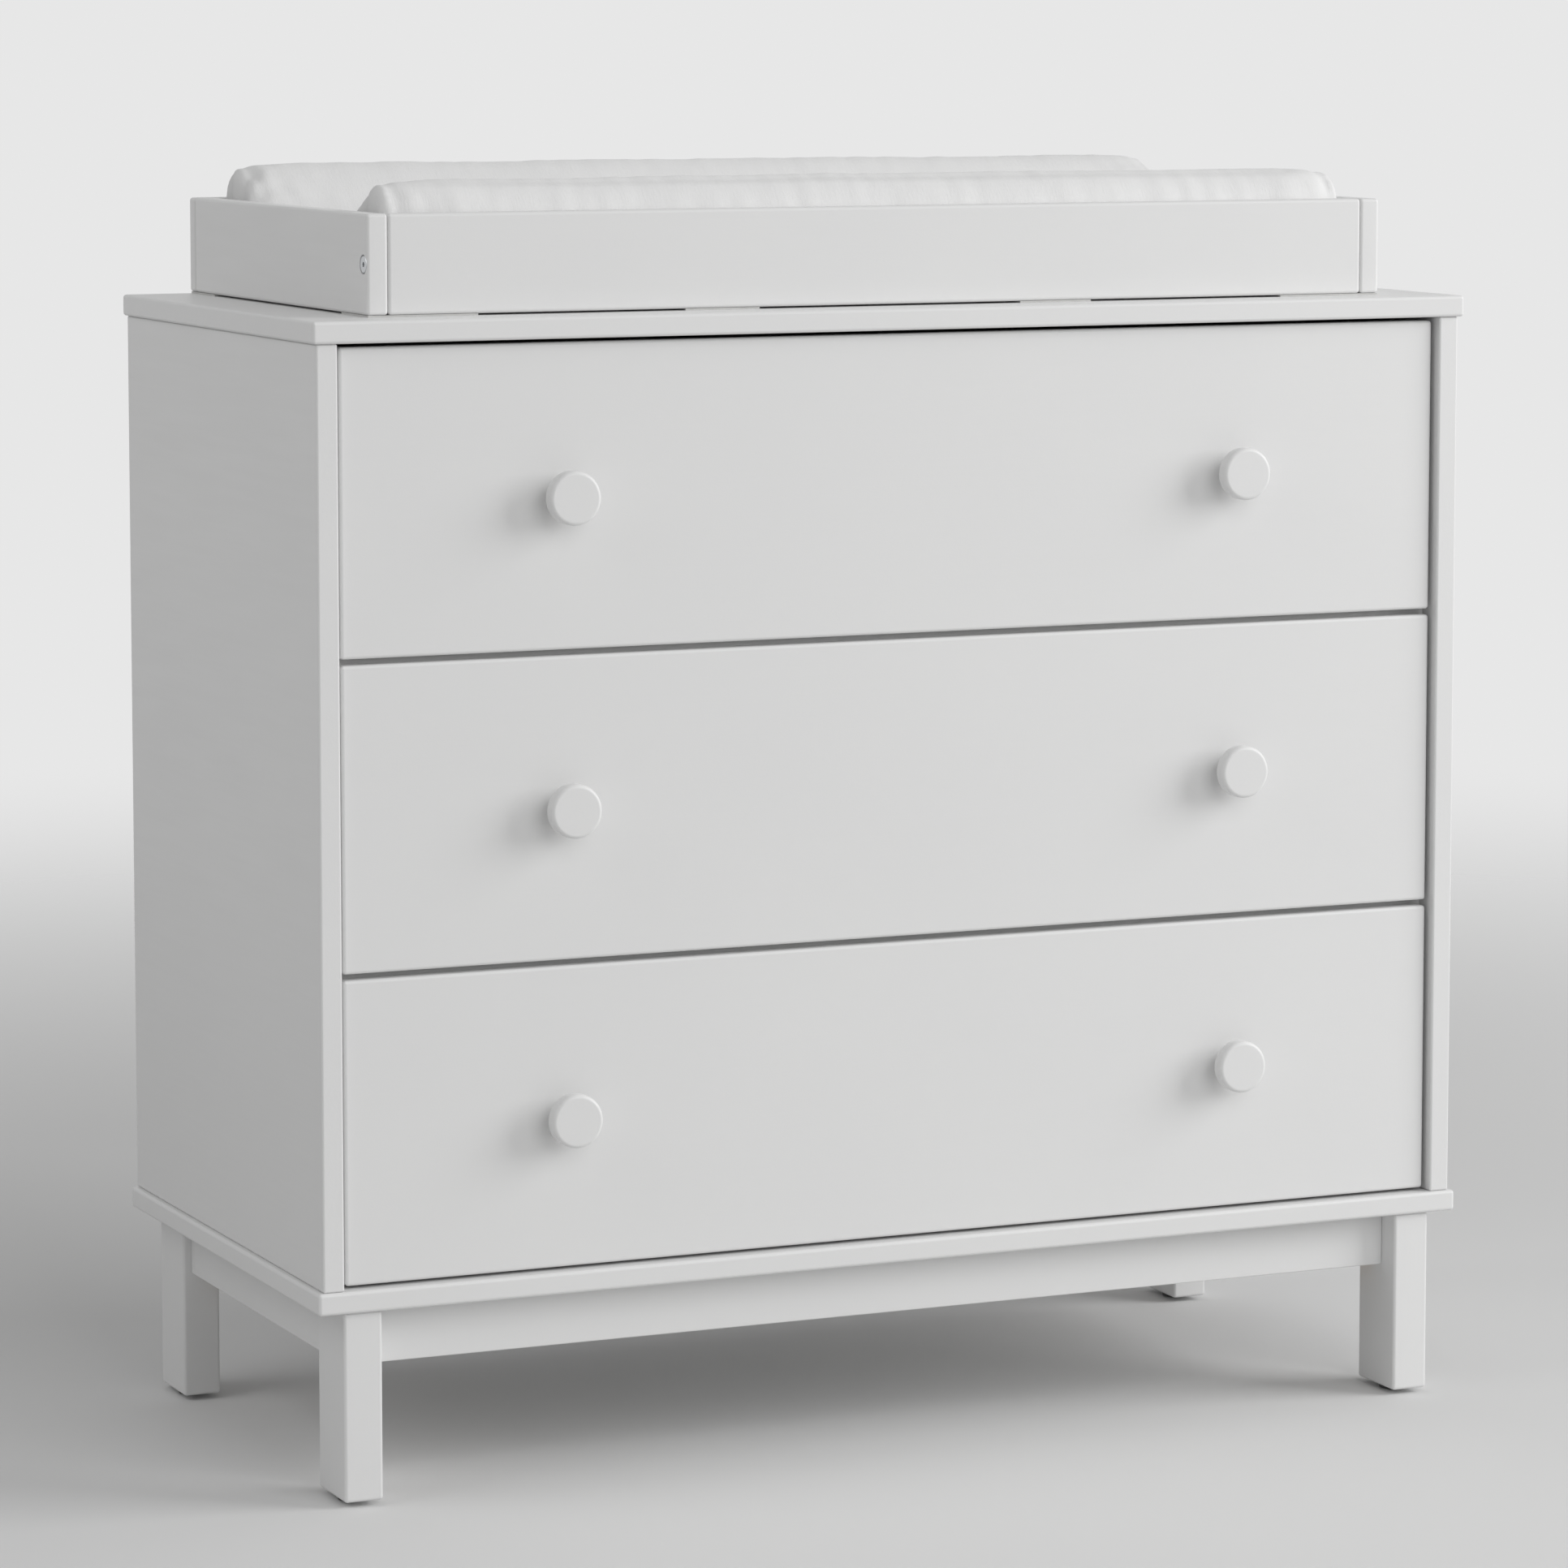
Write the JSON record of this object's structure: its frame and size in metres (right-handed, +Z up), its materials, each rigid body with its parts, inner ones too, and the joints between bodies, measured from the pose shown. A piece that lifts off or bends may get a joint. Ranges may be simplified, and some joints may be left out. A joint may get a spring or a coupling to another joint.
{
  "type": "changing table",
  "caption": "Low dresser with stacked wide drawers and round knobs on a legged base, topped by a removable changing tray that holds a contoured pad.",
  "frame": {"origin": "on the floor under the middle of the bounding box", "axes": "+Z up, +X across the width to the right as seen from the front, -Y out of the drawer fronts"},
  "size_m": [1.046, 0.5058, 1.0648],
  "materials": {
    "white_paint": "satin white paint on wood",
    "white_hardboard": "smooth white foil on hardboard",
    "pine": "planed bare pine",
    "drawer_wood": "sanded and sealed poplar",
    "slide_steel": "zinc-plated sheet steel",
    "zinc_steel": "zinc-plated steel",
    "glide_plastic": "moulded nylon",
    "foot_rubber": "soft pale foam rubber",
    "pad_cover": "soft white knitted fleece cover"
  },
  "bodies": {
    "case": {"top_board": "white_paint", "side_panel_left": "white_paint", "side_panel_right": "white_paint", "bottom_board": "white_paint", "back_panel": "white_hardboard", "divider_rails": "white_paint", "leg_front_left": "white_paint", "leg_front_right": "white_paint", "leg_rear_left": "white_paint", "leg_rear_right": "white_paint", "apron_front": "white_paint", "apron_rear": "white_paint", "apron_left": "white_paint", "apron_right": "white_paint", "corner_blocks": "pine", "leg_bolts": "zinc_steel", "leg_glides": "glide_plastic", "cam_fittings": "zinc_steel", "cabinet_slides": "slide_steel", "topper_screws": "zinc_steel"},
    "top_drawer": {"top_drawer_front": "white_paint", "top_drawer_left_side": "drawer_wood", "top_drawer_right_side": "drawer_wood", "top_drawer_back": "drawer_wood", "top_drawer_bottom": "white_hardboard", "top_drawer_knobs": "white_paint", "top_drawer_knob_screws": "zinc_steel", "top_drawer_slides": "slide_steel"},
    "top_middle_slides": {"top_middle_slides": "slide_steel"},
    "middle_drawer": {"middle_drawer_front": "white_paint", "middle_drawer_left_side": "drawer_wood", "middle_drawer_right_side": "drawer_wood", "middle_drawer_back": "drawer_wood", "middle_drawer_bottom": "white_hardboard", "middle_drawer_knobs": "white_paint", "middle_drawer_knob_screws": "zinc_steel", "middle_drawer_slides": "slide_steel"},
    "middle_middle_slides": {"middle_middle_slides": "slide_steel"},
    "bottom_drawer": {"bottom_drawer_front": "white_paint", "bottom_drawer_left_side": "drawer_wood", "bottom_drawer_right_side": "drawer_wood", "bottom_drawer_back": "drawer_wood", "bottom_drawer_bottom": "white_hardboard", "bottom_drawer_knobs": "white_paint", "bottom_drawer_knob_screws": "zinc_steel", "bottom_drawer_slides": "slide_steel"},
    "bottom_middle_slides": {"bottom_middle_slides": "slide_steel"},
    "topper": {"topper_left_side": "white_paint", "topper_right_side": "white_paint", "topper_front_rail": "white_paint", "topper_back_rail": "white_paint", "topper_slats": "white_paint", "topper_corner_blocks": "white_paint", "topper_bolts": "zinc_steel", "topper_barrel_nuts": "zinc_steel", "topper_feet": "foot_rubber", "fixing_plates": "zinc_steel", "fixing_plate_screws": "zinc_steel"},
    "pad": {"changing_pad": "pad_cover"}
  },
  "joints": [
    {"name": "top_drawer_slide", "type": "slide", "parent": "case", "child": "top_drawer", "axis": [0, -1, 0], "range_m": [0, 0.35]},
    {"name": "top_middle_slide", "type": "slide", "parent": "case", "child": "top_middle_slides", "axis": [0, -1, 0], "range_m": [0, 0.175]},
    {"name": "middle_drawer_slide", "type": "slide", "parent": "case", "child": "middle_drawer", "axis": [0, -1, 0], "range_m": [0, 0.35]},
    {"name": "middle_middle_slide", "type": "slide", "parent": "case", "child": "middle_middle_slides", "axis": [0, -1, 0], "range_m": [0, 0.175]},
    {"name": "bottom_drawer_slide", "type": "slide", "parent": "case", "child": "bottom_drawer", "axis": [0, -1, 0], "range_m": [0, 0.35]},
    {"name": "bottom_middle_slide", "type": "slide", "parent": "case", "child": "bottom_middle_slides", "axis": [0, -1, 0], "range_m": [0, 0.175]},
    {"name": "topper_lift", "type": "slide", "parent": "case", "child": "topper", "axis": [0, 0, 1], "range_m": [0, 0.15]},
    {"name": "pad_lift", "type": "slide", "parent": "topper", "child": "pad", "axis": [0, 0, 1], "range_m": [0, 0.15]}
  ],
  "couplings": [
    {"joint": "top_middle_slide", "follows": "top_drawer_slide", "ratio": 0.5},
    {"joint": "middle_middle_slide", "follows": "middle_drawer_slide", "ratio": 0.5},
    {"joint": "bottom_middle_slide", "follows": "bottom_drawer_slide", "ratio": 0.5}
  ]
}
